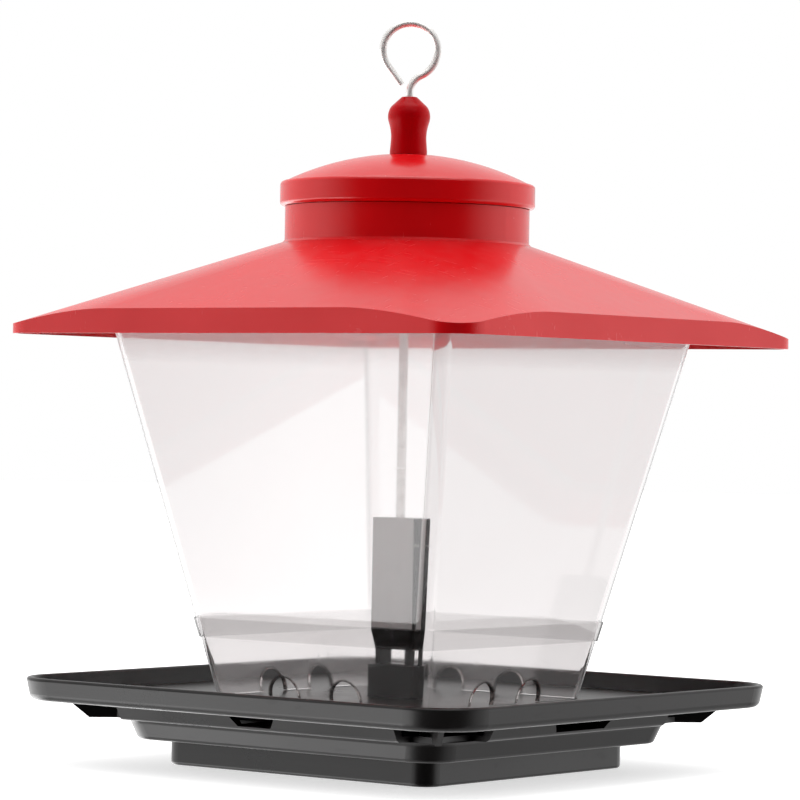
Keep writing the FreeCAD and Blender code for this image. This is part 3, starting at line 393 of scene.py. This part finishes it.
# brightness behind the hopper's upper part, below and above the horizon
HORIZON = (-0.048, 0.02)
BEHIND_LEFT = (0.66, 0.63)
BEHIND_RIGHT = (0.90, 0.84)
BEHIND_FOOT = 1.0
SIDE_BOARDS = 1.2
bpy.ops.mesh.primitive_circle_add(vertices=160, radius=FLOOR_RADIUS, fill_type="NGON",
                                  location=(0, 0, -FLOOR_DROP))
floor = bpy.context.active_object
floor.name = "floor"
paper = bpy.data.materials.new("white paper")
paper.use_nodes = True
tree = paper.node_tree
shader = tree.nodes["Principled BSDF"]
shader.inputs["Base Color"].default_value = (0.82, 0.82, 0.82, 1)
shader.inputs["Roughness"].default_value = 0.9
shader.inputs["Specular IOR Level"].default_value = 0.0
shader.inputs["Emission Color"].default_value = (1, 1, 1, 1)
shader.inputs["Emission Strength"].default_value = 0.62


def dot_with(tree, vector, direction):
    """How far a vector points along a direction."""
    node = add_node(tree, "ShaderNodeVectorMath", operation="DOT_PRODUCT")
    tree.links.new(vector, node.inputs[0])
    node.inputs[1].default_value = direction
    return node.outputs["Value"]


def choose(tree, switch, off, on):
    """One value or the other, or a blend of them between."""
    node = add_node(tree, "ShaderNodeMix", data_type="FLOAT")
    tree.links.new(switch, node.inputs["Factor"])
    feed(tree, node.inputs[2], off)
    feed(tree, node.inputs[3], on)
    return node.outputs[0]


def seen_through(tree, heading, sign):
    """Brightness of what stands behind the clear hopper, along a heading.

    Grey behind its upper part, white behind its foot, and bright boards at
    the sides, which its far walls mirror. The sign turns the heading round.
    """
    rise = combine(tree, "MULTIPLY", dot_with(tree, heading, (0, 0, 1)), sign)
    aside = combine(tree, "MULTIPLY", dot_with(tree, heading, LEFT), sign)
    ahead = combine(tree, "MULTIPLY", dot_with(tree, heading, AHEAD), sign)
    left = spread(tree, rise, *HORIZON, *BEHIND_LEFT)
    right = spread(tree, rise, *HORIZON, *BEHIND_RIGHT)
    back = spread(tree, aside, -0.05, 0.05, right, left)
    below = spread(tree, rise, -0.056, -0.049, 1.0, 0.0)
    back = choose(tree, below, back, BEHIND_FOOT)
    return choose(tree, spread(tree, ahead, -0.7, -0.3, 0.0, 1.0), back, SIDE_BOARDS)


def table_glare(tree, steep, brightness):
    """Brightness of one side of the table, as a glossy face mirrors it."""
    far_out, half_way, close_by = brightness
    near = spread(tree, steep, 0.52, 0.62, 0.0, 1.0)
    return choose(tree, near, spread(tree, steep, SHALLOW, STEEP, far_out, half_way),
                  close_by)


# the way a ray travels is the reverse of the way it comes in
coming = add_node(tree, "ShaderNodeNewGeometry").outputs["Incoming"]
level = add_node(tree, "ShaderNodeVectorMath", operation="MULTIPLY")
tree.links.new(coming, level.inputs[0])
level.inputs[1].default_value = (-1, -1, 0)
away = add_node(tree, "ShaderNodeVectorMath", operation="NORMALIZE")
tree.links.new(level.outputs["Vector"], away.inputs[0])
steep = dot_with(tree, coming, (0, 0, 1))
ahead = dot_with(tree, away.outputs["Vector"], AHEAD)
beside_card = spread(tree, ahead, 0.36, 0.66, 1.0, 0.012)
glare = spread(tree, dot_with(tree, away.outputs["Vector"], LEFT), -0.4, 0.4,
               table_glare(tree, steep, RIGHT_TABLE), table_glare(tree, steep, LEFT_TABLE))
glare = combine(tree, "MULTIPLY", glare, beside_card)
rays = add_node(tree, "ShaderNodeLightPath")
mirrored = add_node(tree, "ShaderNodeEmission")
tree.links.new(glare, mirrored.inputs["Strength"])
scattered = add_node(tree, "ShaderNodeEmission")
tree.links.new(spread(tree, beside_card, 0.0, 1.0, 0.03, 1.8),
               scattered.inputs["Strength"])
backdrop = add_node(tree, "ShaderNodeEmission")
tree.links.new(seen_through(tree, coming, -1), backdrop.inputs["Strength"])
surface = shader.outputs["BSDF"]
for kind, look in (("Is Glossy Ray", mirrored), ("Is Diffuse Ray", scattered),
                   ("Is Transmission Ray", backdrop)):
    covered = add_node(tree, "ShaderNodeMixShader")
    tree.links.new(rays.outputs[kind], covered.inputs[0])
    tree.links.new(surface, covered.inputs[1])
    tree.links.new(look.outputs["Emission"], covered.inputs[2])
    surface = covered.outputs["Shader"]
tree.links.new(surface, tree.nodes["Material Output"].inputs["Surface"])
floor.data.materials.append(paper)

# Light
# A white room, dark on the viewer's side except for a bright awning above,
# and one wide soft box overhead.
AWNING = 2.0
room = bpy.data.worlds.new("room")
bpy.context.scene.world = room
room.use_nodes = True
tree = room.node_tree
tree.nodes.clear()
heading = add_node(tree, "ShaderNodeTexCoord").outputs["Generated"]
rise = dot_with(tree, heading, (0, 0, 1))
# the room fades to the dark side, but its ceiling stays bright
wall = spread(tree, dot_with(tree, heading, AHEAD), 0.02, 0.62, 0.85, 0.015)
wall = combine(tree, "MAXIMUM", wall, spread(tree, rise, 0.5, 0.8, 0.0, 0.75))
scattered = combine(tree, "MULTIPLY", wall, spread(tree, rise, 0.1, 0.8, 3.3, 1.1))
awning = combine(tree, "MULTIPLY", spread(tree, rise, 0.45, 0.6, 0.0, AWNING),
                 spread(tree, dot_with(tree, heading, AHEAD), 0.3, 0.5, 0.0, 1.0))
wall = combine(tree, "MAXIMUM", wall, awning)
rays = add_node(tree, "ShaderNodeLightPath")
bright = choose(tree, rays.outputs["Is Diffuse Ray"], wall, scattered)
bright = choose(tree, rays.outputs["Is Transmission Ray"], bright,
                seen_through(tree, heading, 1))
bright = choose(tree, rays.outputs["Is Camera Ray"], bright, 1.0)
glow = add_node(tree, "ShaderNodeBackground")
glow.inputs["Color"].default_value = (1, 1, 1, 1)
tree.links.new(bright, glow.inputs["Strength"])
tree.links.new(glow.outputs["Background"],
               add_node(tree, "ShaderNodeOutputWorld").inputs["Surface"])
overhead = bpy.data.lights.new("overhead box", "AREA")
overhead.shape = "RECTANGLE"
overhead.size = 1.4
overhead.size_y = 1.0
overhead.energy = 10.5
lamp = bpy.data.objects.new("overhead box", overhead)
lamp.location = (-0.1, 0.15, 1.7)
lamp.visible_camera = False
bpy.context.scene.collection.objects.link(lamp)

# Camera
# Level with the hopper, turned towards the corner between two sides, and
# rolled a little.
SIGHT = math.radians(38)
ROLL = math.radians(1.06)
DISTANCE = 1.706
AIM_ASIDE = -0.0017
AIM_HEIGHT = 0.162
EYE_HEIGHT = 0.153
viewer = bpy.data.cameras.new("viewer")
viewer.lens = 173.25
viewer.sensor_width = 36
viewer.clip_start = 0.01
eye = bpy.data.objects.new("viewer", viewer)
aim = Vector((AIM_ASIDE * math.cos(SIGHT), AIM_ASIDE * math.sin(SIGHT), AIM_HEIGHT))
stand = Vector((aim.x + DISTANCE * math.sin(SIGHT), aim.y - DISTANCE * math.cos(SIGHT),
                EYE_HEIGHT))
turn = (aim - stand).to_track_quat("-Z", "Y").to_matrix()
turn = turn @ Matrix.Rotation(ROLL, 3, "Z")
eye.matrix_world = Matrix.Translation(stand) @ turn.to_4x4()
bpy.context.scene.collection.objects.link(eye)
bpy.context.scene.camera = eye
bpy.context.scene.view_settings.view_transform = "Standard"
